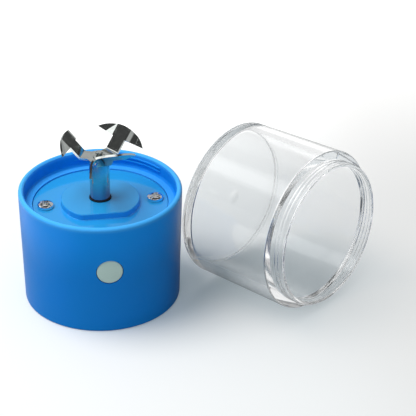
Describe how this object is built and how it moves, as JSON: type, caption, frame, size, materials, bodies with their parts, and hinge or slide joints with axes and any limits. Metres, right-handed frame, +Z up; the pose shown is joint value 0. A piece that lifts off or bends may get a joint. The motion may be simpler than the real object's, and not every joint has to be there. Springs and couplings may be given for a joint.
{
  "type": "portable herb grinder",
  "caption": "Small cordless herb grinder: round blue base with a push button, a raised bent-sheet cutter on a short spindle, and a clear screw-on cup lying beside it.",
  "frame": {"origin": "centre of the base's bottom face, on the spindle axis", "axes": "+Z up along the spindle; -Y towards the button; +Y towards the charging socket; the cup lies on its side at +X"},
  "size_m": [0.131, 0.0709, 0.0643],
  "materials": {
    "blue_plastic": "smooth moulded gloss",
    "clear_plastic": "clear polished moulding",
    "button_plastic": "satin moulded, pale grey-green",
    "polished_steel": "polished",
    "screw_steel": "bright plated",
    "seal_rubber": "matte",
    "can_steel": "zinc plated",
    "core_steel": "laminated, dull",
    "ferrite": "dull ferrite",
    "bush_bronze": "sintered",
    "contact_brass": "bright",
    "copper_wire": "enamelled copper wire",
    "black_plastic": "moulded matte",
    "board_laminate": "solder-mask green",
    "cell_sleeve": "shrink sleeve over a steel can",
    "lead_insulation": "soft insulation"
  },
  "bodies": {
    "base": {"base_housing": "blue_plastic", "bottom_cover": "blue_plastic", "cover_screws": "screw_steel", "deck_plate": "blue_plastic", "deck_screws": "screw_steel", "shaft_seal": "seal_rubber", "motor_can": "can_steel", "motor_bushes": "bush_bronze", "motor_magnets": "ferrite", "motor_end_cap": "black_plastic", "motor_brushes": "contact_brass", "motor_terminals": "contact_brass", "motor_damper": "seal_rubber", "control_board": "board_laminate", "switch_body": "black_plastic", "charge_board": "board_laminate", "charge_socket": "screw_steel", "socket_tongue": "black_plastic", "battery_cell": "cell_sleeve", "battery_leads": "lead_insulation", "motor_leads": "lead_insulation", "charge_leads": "lead_insulation"},
    "rotor": {"motor_shaft": "can_steel", "armature_core": "core_steel", "armature_windings": "copper_wire", "commutator": "copper_wire", "blade_spindle": "polished_steel", "blade": "polished_steel", "blade_screw": "screw_steel"},
    "button": {"push_button": "button_plastic", "switch_plunger": "black_plastic"},
    "cup": {"grinding_cup": "clear_plastic"}
  },
  "joints": [
    {"name": "blade_spin", "type": "hinge", "parent": "base", "child": "rotor", "pos_m": [0, 0, 0.0564], "axis": [0, 0, 1], "continuous": true},
    {"name": "button_press", "type": "slide", "parent": "base", "child": "button", "axis": [0, 1, 0], "range_m": [0, 0.0008], "stiffness_N_per_m": 800, "springref_m": -0.0004},
    {"name": "cup_lift", "type": "slide", "parent": "base", "child": "cup", "axis": [0, 0, 1], "range_m": [0, 0.1]}
  ]
}
